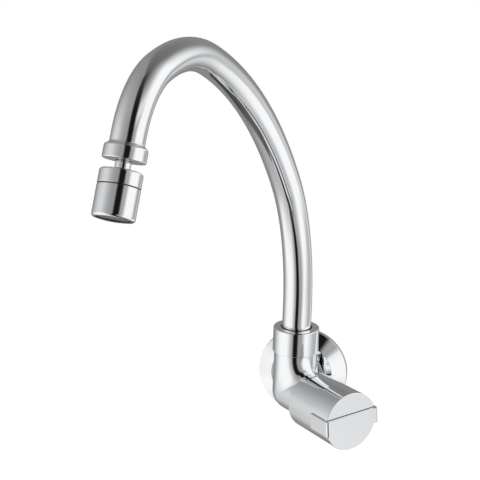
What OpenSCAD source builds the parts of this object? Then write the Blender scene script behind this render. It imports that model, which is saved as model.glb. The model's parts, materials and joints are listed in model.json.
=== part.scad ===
// Wall-mounted quarter-turn tap with a swivel gooseneck spout and a jointed aerator.
// Frame: the wall is the plane Y = 0, the room is on the -Y side, +Z is up, and the inlet
// axis is the Y axis. The swivel axis and the handle axis cross in the body's centre.

/* [Wall side] */
// Distance from the wall to the swivel axis
stand_off = 46; // [44:1:52]
// Radius of the wall flange
flange_r = 34.65; // [33:0.05:38]
// Height of the flange's straight rim, off the wall
flange_rim = 6.8; // [6:0.1:8]
// Radius of the raised boss in the middle of the flange
boss_r = 23.3; // [22.5:0.1:24]
// Height of the boss's front face, off the wall
boss_top = 11.2; // [10.5:0.1:12]
// Thread radius of the inlet, a half-inch pipe thread
inlet_r = 10.48; // [10.4:0.01:10.5]
// Length of inlet thread that stands behind the wall face
inlet_out = 15; // [10:1:20]

/* [Tap body] */
// Radius of the upright socket
socket_r = 16.15; // [16.1:0.05:16.5]
// Radius of the ball that rounds the elbow
elbow_r = 16.25; // [16.2:0.05:16.6]
// Radius of the chamber that holds the headwork
chamber_r = 15.7; // [15.5:0.1:16]
// Length of that chamber, from the swivel axis
chamber_len = 34; // [34:0.5:35]
// Height of the shoulder that the swivel nut meets
shoulder_z = 32.05; // [31:0.05:33]
// Turn of the handle axis from straight out to the right
handle_angle = 45; // [40:1:50]

/* [Swivel nut] */
// Outer radius of the swivel nut
nut_r = 17.45; // [17.3:0.05:18]
// Height of the swivel nut
nut_h = 19.05; // [18.5:0.05:20]

/* [Handle] */
// Radius of the handle at its front face
handle_front_r = 22.45; // [22:0.05:23]
// Radius of the handle at its open rear end
handle_rear_r = 21.65; // [21.2:0.05:22]
// Where the handle begins, from the swivel axis
handle_start = 24.7; // [24:0.1:26]
// Where the handle's front face is, from the swivel axis
handle_end = 75; // [74:0.1:77]
// Width of the grip bar, from end to end
bar_w = 46.5; // [45:0.1:48]
// Height of the grip bar
bar_h = 12.2; // [11:0.1:14]
// Depth of the grip bar
bar_d = 22.3; // [21:0.1:22.4]
// How far the bar stands in front of the handle's face
bar_proud = 2.8; // [2:0.1:3]
// How far the handle is turned off its closed stop as drawn
handle_rest = 5; // [0:1:85]

/* [Spout] */
// Outer radius of the spout tube
tube_r = 11; // [10.9:0.05:11]
// Wall of the spout tube
tube_wall = 1; // [0.8:0.1:1]
// Straight length above the swivel nut
spout_rise = 12; // [8:1:30]
// Radius of the first bend, above the nut
bend_1_r = 180; // [150:1:220]
// Radius of the second, slowest bend
bend_2_r = 424; // [350:1:450]
// Radius of the third bend
bend_3_r = 149; // [120:1:170]
// Radius of the last bend, over the outlet
bend_4_r = 53.6; // [45:0.1:60]
// Length of the straight end, down to the outlet ring's lower face
spout_end = 17.15; // [16:0.05:25]
// Turn of the spout to the left as drawn
spout_yaw = 9.8; // [-60:0.1:60]

/* [Outlet and aerator] */
// Radius of the ring on the spout's end
ring_r = 13.75; // [13.5:0.05:14.5]
// Radius of the aerator's cap and housing
aerator_r = 13.6; // [13.5:0.05:14]
// Radius of the opening at the aerator's mouth
mouth_r = 10.9; // [10:0.1:10.9]
// Radius of the ball in the aerator joint
ball_r = 8.5; // [8.5:0.05:8.6]
// Distance from the outlet ring to the ball's centre
ball_drop = 13; // [12.5:0.1:14]
// Lean of the aerator off the outlet axis as drawn
head_lean = 3; // [0:0.5:15]

/* [Hidden] */
$fn = 96;

chrome = "gainsboro";
brass = "goldenrod";
rubber = "dimgray";
ceramic = "ivory";
white_plastic = "whitesmoke";
grey_plastic = "slategray";
steel = "lightslategray";

eps = 0.5;          // overshoot of a cutting tool
run = 0.05;         // radial clearance of a running fit
seat = 0.03;        // radial clearance of parts that are screwed or pushed together

// Wall side, measured outwards from the wall
gasket_t = 0.8;
flange_wall = 2.2;
boss_bore = 15.9;
body_tail = 3;      // rear face of the tap body
thread_end = 18;    // inner end of the inlet thread
inlet_bore = 8;
water_bore = 7;     // waterway from the inlet to the valve
gasket_bore = 24;
washer_t = 2;
collar_r = 17.2;    // body collar that clamps the flange
collar_t = 2;

// Upright socket, measured up from the axes
socket_floor = 18;
socket_bore = 12.5;
neck_r = 15;        // threaded neck under the swivel nut
neck_top = 43.5;
nut_wall = 2.1;
nut_top = shoulder_z + nut_h;
nut_bore = 12.2;
slip_r = 14.8;
slip_t = 0.95;
tail_flange_z = 44.5;
tail_flange_t = 2.5;
tail_flange_r = 14.5;
tail_bottom = 19;
tube_bottom = 28;
tail_bore = 9.3;
groove_depth = 1.45;
groove_w = 1.7;
tail_grooves = [20.3, 24.3];

// Headwork and handle, measured out along the handle axis
seat_h = 9;         // valve seat in the tap body
valve_bore = 5;
riser_bore = 4;
recess_r = 12.6;    // recess for the headwork's O-ring
recess_h = 1.6;
pocket_h = 11;
pocket_end = 20.9;
pocket_r = 12;
nose_r = 9.4;
nose_bore = 7.8;
nose_end = 20.5;
gasket_h = 2;
disc_t = 3;
disc_r = 7.7;
window_in = 2.6;
window_out = 6.4;
window_turn = 80;
tongue_w = 4;
tongue_t = 1.2;
foot_t = 2;
thread_r = 10.48;
hex_af = 24;
hex_t = 5.5;
neck_end = 44;
stem_neck_r = 8.2;
spindle_r = 5;
spindle_grooves = [25, 29];
spline_r = 4;
spline_teeth = 20;
spline_start = 46;
spindle_end = 51.8;
hub_start = 46.2;   // clear of the spindle's full round, which holds the circlip
hub_end = 52;
hub_r = 11.5;
adapter_r = 8.6;
web_start = 50;
sleeve_bore = 19.3;
slot_floor = handle_end + bar_proud - bar_d;
screw_r = 2;
screw_head_r = 3.8;
screw_head_h = 2.2;
screw_seat = 53;
peg_r = 2;
peg_x = 14;
peg_len = 4;
bar_round = 1.5;

// Outlet, measured along the flow from the ring's lower face
ring_lip = -11.2;
ring_shoulder = -7.2;
lip_r = tube_r + 0.35;
ring_floor = 2.2;
cavity_top = -4.2;
cavity_r = 8.3;
stem_washer_t = 1;
stem_r = 5;
stem_flange_r = 8.2;
stem_bore = 3;
stem_spigot_r = 4.2;
ball_flat = sqrt(ball_r * ball_r - stem_r * stem_r);

// Aerator, measured along the flow from the ball's centre
cap_top = -5;
cap_opening = 7.2;
cap_step = -2.6;
cap_bottom = 2.8;
cap_round = 1.6;
spigot_r = 12.2;
housing_top = 3.3;
housing_bore = 11.4;
housing_bottom = 21.65;
housing_round = 3;
lip_t = 1;
seat_top = 1;
seat_bottom = 7;
seat_bore = 5.6;
core_top = 8.5;
mesh_t = 0.8;
core_bottom = housing_bottom - lip_t - mesh_t;
lean_dir = 148.4;   // direction of the aerator's lean, about the outlet axis

bends = [[bend_1_r, 38.8], [bend_2_r, 27.4], [bend_3_r, 33], [bend_4_r, 57.1]];

// ---------- Small helpers ----------

// Points of an arc about [x, y], from angle a to angle b in n steps
function arc(x, y, r, a, b, n = 8) =
    [for (i = [0:n]) let (t = a + (b - a) * i / n) [x + r * cos(t), y + r * sin(t)]];

// A value that goes smoothly from a to b while t goes from 0 to 1
function ease(a, b, t) = a + (b - a) * t * t * (3 - 2 * t);

// A disc with a round hole, from height z0 to z1
module washer(r_out, r_in, z0, z1) {
    translate([0, 0, z0]) difference() {
        cylinder(h = z1 - z0, r = r_out);
        translate([0, 0, -eps]) cylinder(h = z1 - z0 + 2 * eps, r = r_in);
    }
}

// A rod or a drill from height z0 to z1
module rod(r, z0, z1) {
    translate([0, 0, z0]) cylinder(h = z1 - z0, r = r);
}

// A rubber ring: the circle of radius section runs round at radius r
module o_ring(r, section, z) {
    translate([0, 0, z]) rotate_extrude() translate([r, 0]) circle(r = section, $fn = 32);
}

// Two opposite ring sectors, the water windows of the valve discs
module windows(z0, z1, start) {
    for (side = [0, 180])
        translate([0, 0, z0]) rotate([0, 0, start + side])
            rotate_extrude(angle = window_turn)
                translate([window_in, 0]) square([window_out - window_in, z1 - z0]);
}

// Straight-sided spline with its teeth at radius r
module spline(r, z0, z1) {
    step = 360 / spline_teeth;
    points = [for (i = [0:spline_teeth - 1], k = [0, 0.5])
        let (a = (i + k) * step, q = k == 0 ? r : r - 0.45) [q * cos(a), q * sin(a)]];
    translate([0, 0, z0]) linear_extrude(height = z1 - z0) polygon(points);
}

// ---------- Places ----------

// From the wall outwards: local Z points into the room
module from_wall() { rotate([90, 0, 0]) children(); }

// The crossing of the swivel axis and the handle axis
module at_body() { translate([0, -stand_off, 0]) children(); }

// Local Z points out along the handle axis, local Y points up
module on_handle() { at_body() rotate([0, 0, handle_angle]) rotate([90, 0, 0]) children(); }

// The same, turned with the handle
module on_turned_handle() { on_handle() rotate([0, 0, handle_rest]) children(); }

// Local X points along the spout's reach and local Z up
module on_spout() { at_body() rotate([0, 0, -90 - spout_yaw]) children(); }

// ---------- The spout's path ----------

// The place and heading at the start of bend n: [[reach, height], angle from upright]
function path_at(n) = n == 0 ? [[0, nut_top + spout_rise], 0] :
    let (s = path_at(n - 1), b = bends[n - 1], a = s[1])
    [s[0] + b[0] * [cos(a) - cos(a + b[1]), sin(a + b[1]) - sin(a)], a + b[1]];

path_end = path_at(len(bends));
heading = path_end[1];
outlet = path_end[0] + spout_end * [sin(heading), cos(heading)];

// Local Z points along the flow, from the outlet ring's lower face
module at_outlet() {
    on_spout() translate([outlet[0], 0, outlet[1]]) rotate([0, heading, 0]) children();
}

// The ball's centre, leaning with the aerator
module at_aerator() {
    at_outlet() translate([0, 0, ball_drop])
        rotate(a = head_lean, v = [-sin(lean_dir), cos(lean_dir), 0]) children();
}

// ---------- Wall side ----------

module wall_gasket() {
    color(rubber) from_wall() washer(flange_r - 0.85, gasket_bore, 0, gasket_t);
}

module wall_flange() {
    edge = 0.6;
    rim = flange_r - flange_wall;
    dome = [for (i = [0:10]) let (t = i / 10)
        [flange_r - edge - t * (flange_r - edge - boss_r - 1.6), flange_rim + 1.8 * sin(90 * t)]];
    outline = concat(
        [[flange_r, gasket_t]],
        arc(flange_r - edge, flange_rim - edge, edge, 0, 90, 4),
        dome,
        arc(boss_r + 1.6, flange_rim + 3.4, 1.6, 260, 185, 5),
        arc(boss_r - 0.8, boss_top - 0.8, 0.8, 0, 90, 5),
        [[boss_bore, boss_top], [boss_bore, boss_top - flange_wall]],
        [[boss_r - flange_wall, boss_top - flange_wall], [rim, flange_rim - flange_wall]],
        [[rim, gasket_t]]
    );
    color(chrome) from_wall() rotate_extrude() polygon(outline);
}

module inlet_nipple() {
    relief = 1;
    relief_start = 1.5;
    relief_end = 3.5;
    color(brass) from_wall() difference() {
        union() {
            rod(inlet_r, -inlet_out, relief_start);
            rod(inlet_r - relief, relief_start, relief_end);
            rod(inlet_r, relief_end, thread_end);
            translate([0, 0, -inlet_out - relief])
                cylinder(h = relief, r1 = inlet_r - relief, r2 = inlet_r);
        }
        rod(inlet_bore, -inlet_out - 2 * relief, thread_end + eps);
    }
}

module inlet_washer() {
    color(rubber) from_wall() washer(inlet_r - 0.1, water_bore, thread_end, thread_end + washer_t);
}

// ---------- Tap body ----------

module tap_body_outside() {
    at_body() {
        sphere(r = elbow_r);
        rod(socket_r, 0, shoulder_z);
        rod(neck_r, shoulder_z - 1, neck_top);
    }
    on_handle() rod(chamber_r, 0, chamber_len);
    from_wall() {
        rod(boss_bore - seat, body_tail, boss_top + 1);
        rod(collar_r, boss_top, boss_top + collar_t);
        rod(chamber_r, boss_top + 1, stand_off);
    }
}

// The slanted waterway that climbs from the valve's pocket to the upright socket
module riser() {
    start = 15.5;
    start_z = 6;
    slant = 28;
    rotate([0, 0, handle_angle]) translate([0, -start, start_z])
        rotate([-slant, 0, 0]) rod(riser_bore, 0, socket_floor);
}

module tap_body_waterways() {
    from_wall() {
        rod(inlet_r + seat, body_tail - eps, thread_end + washer_t);
        rod(water_bore, thread_end + 1, stand_off + 2);
    }
    on_handle() {
        rod(valve_bore, -1, seat_h + 1);
        rod(nose_r + 0.2, seat_h, pocket_h + 1);
        rod(pocket_r, pocket_h, pocket_end);
        rod(thread_r + seat, pocket_end - 1, chamber_len + eps);
        rod(recess_r, chamber_len - recess_h, chamber_len + eps);
    }
    at_body() {
        rod(socket_bore, socket_floor, neck_top + eps);
        riser();
    }
}

module tap_body() {
    color(chrome) difference() {
        tap_body_outside();
        tap_body_waterways();
    }
}

// ---------- Ceramic headwork ----------

module headwork_body() {
    port_w = 6;
    color(brass) on_handle() difference() {
        union() {
            rod(nose_r, seat_h, pocket_end);
            rod(thread_r, pocket_end - 1, chamber_len);
            translate([0, 0, chamber_len]) cylinder(h = hex_t, r = hex_af / sqrt(3), $fn = 6);
            rod(stem_neck_r, chamber_len + hex_t - 1, neck_end);
        }
        rod(nose_bore, seat_h - eps, nose_end);
        rod(spindle_r + run, nose_end - 1, neck_end + eps);
        for (side = [0, 90])
            rotate([0, 0, side])
                translate([-nose_r - 1, -port_w / 2, nose_end - 3.5])
                    cube([2 * nose_r + 2, port_w, 3.5]);
    }
}

module headwork_o_ring() {
    color(rubber) on_handle() o_ring(11.5, 0.78, chamber_len - 0.8);
}

module disc_gasket() {
    color(rubber) on_handle() difference() {
        rod(disc_r, seat_h, seat_h + gasket_h);
        windows(seat_h - eps, seat_h + gasket_h + eps, 0);
    }
}

module fixed_ceramic_disc() {
    color(ceramic) on_handle() difference() {
        rod(disc_r, seat_h + gasket_h, seat_h + gasket_h + disc_t);
        windows(seat_h, seat_h + gasket_h + disc_t + eps, 0);
    }
}

disc_face = seat_h + gasket_h + disc_t;     // the sealing plane between the two discs
disc_back = disc_face + disc_t;

module rotating_ceramic_disc() {
    color(ceramic) on_turned_handle() difference() {
        rod(disc_r, disc_face, disc_back);
        windows(disc_face - eps, disc_back + eps, 90);
        translate([-tongue_w / 2, -disc_r - 1, disc_back - tongue_t])
            cube([tongue_w, 2 * disc_r + 2, tongue_t + eps]);
    }
}

module headwork_spindle() {
    foot_r = disc_r;
    color(brass) on_turned_handle() difference() {
        union() {
            rod(foot_r, disc_back, disc_back + foot_t);
            intersection() {
                rod(foot_r, disc_back - tongue_t, disc_back + 0.2);
                translate([-tongue_w / 2 + seat, -disc_r - 1, disc_back - tongue_t])
                    cube([tongue_w - 2 * seat, 2 * disc_r + 2, tongue_t + 0.2]);
            }
            rod(spindle_r, disc_back + 1, spline_start);
            spline(spline_r, spline_start - 0.2, spindle_end);
        }
        windows(disc_back - tongue_t - eps, disc_back + foot_t - 0.02, 90);
        for (z = spindle_grooves) washer(spindle_r + eps, spindle_r - 1.1, z, z + groove_w);
        washer(spindle_r + eps, spindle_r - 0.8, neck_end + 0.1, neck_end + 1.3);
        rod(screw_r + seat, spindle_end - 9, spindle_end + eps);
    }
}

module spindle_o_rings() {
    color(rubber) on_turned_handle()
        for (z = spindle_grooves) o_ring(spindle_r - 0.6, 0.48, z + groove_w / 2);
}

module spindle_circlip() {
    color(steel) on_turned_handle() difference() {
        washer(7, spindle_r - 0.78, neck_end + 0.15, neck_end + 1.25);
        translate([-2, 0, neck_end - eps]) cube([4, 10, 3]);
    }
}

// ---------- Handle ----------

module handle_adapter() {
    color(white_plastic) on_turned_handle() difference() {
        translate([0, 0, hub_start]) cylinder(h = hub_end - hub_start, r = adapter_r, $fn = 6);
        spline(spline_r + 2 * seat, hub_start - eps, hub_end + eps);
    }
}

module handle_sleeve() {
    edge = 0.5;
    outline = concat(
        [[sleeve_bore, handle_start], [handle_rear_r, handle_start]],
        arc(handle_front_r - edge, handle_end - edge, edge, 0, 90, 4),
        [[0, handle_end], [0, web_start], [sleeve_bore, web_start]]
    );
    color(chrome) on_turned_handle() difference() {
        union() {
            rotate_extrude() polygon(outline);
            rod(hub_r, hub_start, web_start + 1);
        }
        translate([0, 0, hub_start - eps])
            cylinder(h = hub_end - hub_start + eps, r = adapter_r + seat, $fn = 6);
        rod(screw_r + 0.3, hub_end - eps, screw_seat + eps);
        rod(screw_head_r + 0.3, screw_seat, slot_floor + eps);
        translate([-handle_front_r - 1, -bar_h / 2 - seat, slot_floor])
            cube([2 * handle_front_r + 2, bar_h + 2 * seat, handle_end]);
        for (side = [-1, 1])
            translate([side * peg_x, 0, 0]) rod(peg_r + seat, slot_floor - peg_len - 0.3, handle_end);
    }
}

module handle_bar() {
    front = slot_floor + bar_d;
    color(chrome) on_turned_handle() {
        translate([-bar_w / 2, -bar_h / 2, slot_floor])
            cube([bar_w, bar_h, bar_d - bar_round]);
        translate([-bar_w / 2 + bar_round, -bar_h / 2, slot_floor + 1])
            cube([bar_w - 2 * bar_round, bar_h, bar_d - 1]);
        for (side = [-1, 1]) {
            translate([side * (bar_w / 2 - bar_round), bar_h / 2, front - bar_round])
                rotate([90, 0, 0]) cylinder(h = bar_h, r = bar_round);
            translate([side * peg_x, 0, 0]) rod(peg_r, slot_floor - peg_len, slot_floor + 1);
        }
    }
}

module handle_screw() {
    color(steel) on_turned_handle() difference() {
        union() {
            rod(screw_r, spindle_end - 8.5, screw_seat + 1);
            rod(screw_head_r, screw_seat, screw_seat + screw_head_h);
        }
        translate([0, 0, screw_seat + 0.8]) cylinder(h = 3, r = 1.45, $fn = 6);
    }
}

// ---------- Swivel ----------

module swivel_nut() {
    edge = 1;
    outline = concat(
        [[neck_r + seat, shoulder_z], [nut_r - 0.3, shoulder_z], [nut_r, shoulder_z + 0.3]],
        arc(nut_r - edge, nut_top - edge, edge, 0, 90, 6),
        [[nut_bore + 0.4, nut_top], [nut_bore, nut_top - 0.4], [nut_bore, nut_top - nut_wall]],
        [[neck_r + seat, nut_top - nut_wall]]
    );
    color(chrome) at_body() rotate_extrude() polygon(outline);
}

module lower_slip_ring() {
    color(white_plastic) at_body() washer(slip_r, socket_bore + 0.1, neck_top, neck_top + slip_t);
}

module upper_slip_ring() {
    flange_z = tail_flange_z + tail_flange_t + run;
    color(white_plastic) at_body() difference() {
        union() {
            rod(slip_r, flange_z, nut_top - nut_wall);
            rod(nut_bore - 0.1, flange_z, nut_top + 0.3);
        }
        rod(tube_r + 0.08, flange_z - eps, nut_top + 2);
    }
}

module spout_tail() {
    color(brass) at_body() difference() {
        union() {
            rod(socket_bore - run, tail_bottom, tail_flange_z + 1);
            rod(tail_flange_r, tail_flange_z, tail_flange_z + tail_flange_t);
        }
        rod(tail_bore, tail_bottom - eps, tube_bottom + 1);
        rod(tube_r + seat, tube_bottom, tail_flange_z + tail_flange_t + eps);
        for (z = tail_grooves)
            washer(socket_bore + eps, socket_bore - groove_depth, z, z + groove_w);
    }
}

module tail_o_rings() {
    color(rubber) at_body()
        for (z = tail_grooves) o_ring(socket_bore - 0.75, 0.7, z + groove_w / 2);
}

// ---------- Spout ----------

// The tube's wall in section, at distance x from the turning axis
module tube_section(x) {
    translate([x, 0]) difference() {
        circle(r = tube_r);
        circle(r = tube_r - tube_wall);
    }
}

// Moves in the spout's plane. Whole and part millimetres go in two steps, which keeps more
// decimals of the place, so that the end faces of two neighbouring bends meet exactly.
module move_on_path(p) {
    whole = [floor(p[0]), floor(p[1])];
    translate([whole[0], 0, whole[1]])
        translate([p[0] - whole[0], 0, p[1] - whole[1]]) children();
}

// One bend: the tube's section turns about the bend's own centre
module tube_bend(n) {
    place = path_at(n);
    r = bends[n][0];
    turn = bends[n][1];
    a = place[1];
    move_on_path(place[0] + r * [cos(a), -sin(a)]) rotate([90, 0, 0])
        rotate_extrude(angle = turn, start = 180 - a - turn) tube_section(r);
}

module spout_tube() {
    rise = nut_top + spout_rise - tube_bottom;
    fall = spout_end + cavity_top - stem_washer_t;
    color(chrome) on_spout() {
        translate([0, 0, tube_bottom]) linear_extrude(height = rise) tube_section(0);
        for (n = [0:len(bends) - 1]) tube_bend(n);
        move_on_path(path_end[0]) rotate([0, heading, 0])
            linear_extrude(height = fall) tube_section(0);
    }
}

module outlet_ring() {
    edge = 0.8;
    flare = [for (i = [0:12]) let (t = i / 12)
        [ease(lip_r, ring_r, t), ring_lip + 0.4 + t * (ring_shoulder - ring_lip - 0.4)]];
    outline = concat(
        [[tube_r + seat, ring_lip], [lip_r, ring_lip]],
        flare,
        arc(ring_r - edge, -edge, edge, 0, 90, 5),
        [[stem_r + 0.6, 0], [stem_r + run, -0.6], [stem_r + run, -ring_floor]],
        [[cavity_r, -ring_floor], [cavity_r, cavity_top], [tube_r + seat, cavity_top]]
    );
    color(chrome) at_outlet() rotate_extrude() polygon(outline);
}

module stem_washer() {
    color(white_plastic) at_outlet()
        washer(tube_r - 0.1, stem_bore + 0.4, cavity_top - stem_washer_t, cavity_top);
}

// ---------- Aerator joint ----------

module outlet_stem() {
    color(chrome) at_outlet() difference() {
        union() {
            rod(stem_flange_r, cavity_top + run, -ring_floor);
            rod(stem_r, -ring_floor - 1, ball_drop - ball_flat);
            rod(stem_spigot_r, ball_drop - ball_flat - 1, ball_drop - 1);
        }
        rod(stem_bore, cavity_top - eps, ball_drop);
        washer(stem_flange_r + eps, stem_flange_r - 1.1, -3.7, -2.7);
    }
}

module stem_o_ring() {
    color(rubber) at_outlet() o_ring(stem_flange_r - 0.5, 0.48, -3.2);
}

module swivel_ball() {
    color(chrome) at_outlet() translate([0, 0, ball_drop]) difference() {
        sphere(r = ball_r);
        rod(ball_r, -ball_r - 1, -ball_flat);
        rod(stem_spigot_r + seat, -ball_r, -1);
        rod(stem_bore + 0.3, -2, ball_r + 1);
    }
}

// ---------- Aerator ----------

module aerator_cap() {
    outline = concat(
        [[cap_opening, cap_top + 3.9], [cap_opening, cap_top + 0.4], [cap_opening + 0.4, cap_top]],
        arc(aerator_r - cap_round, cap_top + cap_round, cap_round, 270, 360, 6),
        [[aerator_r, cap_bottom - 0.2], [aerator_r - 0.2, cap_bottom]],
        [[spigot_r + seat, cap_bottom], [spigot_r + seat, cap_step], [cap_opening, cap_step]]
    );
    color(chrome) at_aerator() difference() {
        rotate_extrude() polygon([for (p = outline) [p[0], min(p[1], cap_bottom)]]);
        sphere(r = ball_r + run);
    }
}

module ball_seat() {
    color(white_plastic) at_aerator() difference() {
        rod(housing_bore - seat, seat_top, seat_bottom);
        sphere(r = ball_r + run);
        rod(seat_bore, seat_top, seat_bottom + eps);
    }
}

module aerator_housing() {
    lower = housing_bottom - housing_round;
    outline = concat(
        [[housing_bore, cap_step], [spigot_r, cap_step], [spigot_r, housing_top]],
        [[aerator_r - 0.2, housing_top], [aerator_r, housing_top + 0.2]],
        arc(aerator_r - housing_round, lower, housing_round, 0, 84, 8),
        [[mouth_r, housing_bottom], [mouth_r, housing_bottom - lip_t]],
        [[housing_bore, housing_bottom - lip_t]]
    );
    color(chrome) at_aerator() rotate_extrude() polygon(outline);
}

module aerator_gasket() {
    color(rubber) at_aerator() washer(housing_bore - 0.05, 6.5, seat_bottom, core_top);
}

module aerator_core() {
    cell = 2.7;
    color(grey_plastic) at_aerator() difference() {
        rod(housing_bore - 0.1, core_top, core_bottom);
        rod(housing_bore - 1.3, core_top + 2, core_bottom - 2);
        for (k = [0:11])
            rotate([0, 0, 30 * k]) translate([6.2, 0, 0]) rod(0.7, core_top - eps, core_top + 3);
        for (i = [-3:3], j = [-3:3])
            if (abs(i + j) <= 3)
                translate([cell * (i + j / 2), cell * j * sqrt(3) / 2, core_bottom - 3])
                    rotate([0, 0, 30]) cylinder(h = 4, r = 1.35, $fn = 6);
    }
}

module aerator_mesh() {
    z = core_bottom;
    wire = 0.35;
    pitch = 1.7;
    color(steel) at_aerator() {
        washer(housing_bore - 0.1, housing_bore - 1.1, z, z + mesh_t);
        intersection() {
            rod(housing_bore - 0.6, z + 0.1, z + 0.6);
            for (k = [-6:6]) {
                translate([k * pitch - wire / 2, -housing_bore, z + 0.1])
                    cube([wire, 2 * housing_bore, 0.3]);
                translate([-housing_bore, k * pitch - wire / 2, z + 0.3])
                    cube([2 * housing_bore, wire, 0.3]);
            }
        }
    }
}

wall_gasket();
wall_flange();
tap_body();
inlet_nipple();
inlet_washer();
headwork_body();
headwork_o_ring();
disc_gasket();
fixed_ceramic_disc();
swivel_nut();
lower_slip_ring();
upper_slip_ring();
headwork_spindle();
rotating_ceramic_disc();
spindle_o_rings();
spindle_circlip();
handle_adapter();
handle_sleeve();
handle_bar();
handle_screw();
spout_tube();
spout_tail();
tail_o_rings();
outlet_ring();
stem_washer();
outlet_stem();
swivel_ball();
stem_o_ring();
aerator_cap();
ball_seat();
aerator_housing();
aerator_gasket();
aerator_core();
aerator_mesh();
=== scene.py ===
"""Looks of a wall-mounted tap with a swivel gooseneck spout and a ball-jointed aerator.

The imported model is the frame. Each polished piece is a surface worked out on a grid with its
exact normals, so that the chrome mirrors the studio cleanly, and stands for its CAD node.
Everything is in metres, with the wall at Y = 0, the room on the -Y side and +Z up.
"""
import json
import math
from collections import namedtuple

import bpy
import numpy as np
from bpy.props import FloatProperty, FloatVectorProperty, PointerProperty
from mathutils import Matrix, Vector


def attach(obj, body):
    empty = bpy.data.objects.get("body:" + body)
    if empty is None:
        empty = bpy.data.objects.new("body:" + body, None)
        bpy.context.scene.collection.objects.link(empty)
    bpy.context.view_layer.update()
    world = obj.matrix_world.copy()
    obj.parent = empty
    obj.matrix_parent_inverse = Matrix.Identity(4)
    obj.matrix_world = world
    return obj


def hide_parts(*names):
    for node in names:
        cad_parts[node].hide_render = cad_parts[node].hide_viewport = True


bl_info = {
    "name": "Wall Tap",
    "version": (1, 0, 0),
    "blender": (4, 5, 0),
    "location": "View3D > Sidebar > Wall Tap",
    "description": "Builds the polished surfaces of a wall-mounted swivel spout tap",
    "category": "Add Mesh",
}

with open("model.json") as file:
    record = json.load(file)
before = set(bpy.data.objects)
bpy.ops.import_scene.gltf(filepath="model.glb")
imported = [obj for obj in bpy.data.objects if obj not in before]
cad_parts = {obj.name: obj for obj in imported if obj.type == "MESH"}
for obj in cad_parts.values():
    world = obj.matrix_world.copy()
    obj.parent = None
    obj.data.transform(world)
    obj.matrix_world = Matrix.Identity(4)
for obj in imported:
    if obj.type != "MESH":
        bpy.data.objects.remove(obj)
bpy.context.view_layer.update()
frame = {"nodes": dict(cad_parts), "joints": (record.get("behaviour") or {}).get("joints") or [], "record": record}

MM = 0.001
JOINTS = {joint["name"]: joint for joint in frame["joints"]}


def unit(v):
    """The vector v at length one."""
    v = np.asarray(v, float)
    return v / np.linalg.norm(v)


def turned(v, axis, angle):
    """v turned about the unit axis by angle: v cos + (axis x v) sin + axis (axis . v)(1 - cos)."""
    v, axis = np.asarray(v, float), np.asarray(axis, float)
    return (v * math.cos(angle) + np.cross(axis, v) * math.sin(angle)
            + axis * (axis @ v) * (1 - math.cos(angle)))


# ---------- Places, from the frame's joints ----------

UP = np.array([0.0, 0.0, 1.0])
ROOM = np.array([0.0, -1.0, 0.0])
BODY_CENTRE = np.array(JOINTS["spout_swivel"]["pos_m"])
HANDLE_AXIS = unit(JOINTS["handle_turn"]["axis"])
FLOW = unit(JOINTS["aerator_spin"]["axis"])
OUTLET = np.array(JOINTS["aerator_spin"]["pos_m"])
BALL_CENTRE = np.array(JOINTS["aerator_tilt"]["pos_m"])
TILT_AXIS = unit(JOINTS["aerator_tilt"]["axis"])
REACH = unit([FLOW[0], FLOW[1], 0.0])
LEVEL = unit(np.cross(UP, HANDLE_AXIS))


# ---------- Sizes and colours that a user would change ----------

def length(name, description, default_mm, low_mm, high_mm):
    """A length property, given in millimetres and held in metres."""
    return FloatProperty(name=name, description=description, default=default_mm * MM,
                         min=low_mm * MM, max=high_mm * MM, unit="LENGTH", precision=5)


def angle(name, description, default_deg, low_deg, high_deg):
    """An angle property, given in degrees and held in radians."""
    return FloatProperty(name=name, description=description, default=math.radians(default_deg),
                         min=math.radians(low_deg), max=math.radians(high_deg), unit="ROTATION")


def colour(name, description, default):
    """A colour property, linear red, green and blue."""
    return FloatVectorProperty(name=name, description=description, default=default,
                               min=0.0, max=1.0, size=3, subtype="COLOR")


class TapBodySizes(bpy.types.PropertyGroup):
    """Sizes of the flange, the tap body and the swivel nut."""
    flange_radius: length("Flange radius", "Outer radius of the wall flange", 34.65, 33, 38)
    flange_rim: length("Flange rim", "Height of the flange's rim off the wall", 5.0, 4, 8)
    boss_radius: length("Boss radius", "Radius of the flange's flat face", 24.0, 22, 25)
    boss_top: length("Boss height", "Height of the flange's face off the wall", 12.0, 10, 12.5)
    body_radius: length("Body radius", "Radius of the body's three limbs", 16.15, 15, 17)
    shoulder: length("Shoulder height", "Height of the nut's seat", 32.05, 30, 34)
    nut_radius: length("Nut radius", "Outer radius of the swivel nut", 17.45, 17, 18)
    nut_top: length("Nut top", "Height of the nut's upper face", 51.1, 48, 54)


class HandleSizes(bpy.types.PropertyGroup):
    """Sizes of the handle sleeve and its grip bar."""
    front_radius: length("Front radius", "Handle radius at its front face", 22.45, 22, 23)
    rear_radius: length("Rear radius", "Handle radius at its open end", 21.65, 21, 22)
    start: length("Handle start", "Distance from the body's centre to the sleeve", 24.7, 24, 26)
    end: length("Handle end", "Distance from the body's centre to the face", 75.0, 74, 77)
    bar_width: length("Bar width", "Width of the grip bar", 46.5, 45, 48)
    bar_height: length("Bar height", "Height of the grip bar", 12.2, 11, 14)
    bar_depth: length("Bar depth", "Depth of the grip bar", 22.3, 21, 22.4)
    bar_proud: length("Bar proud", "How far the bar stands before the face", 2.8, 2, 3)
    turn: angle("Turn", "Turn of the handle off its closed stop", 5, 0, 85)


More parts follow.
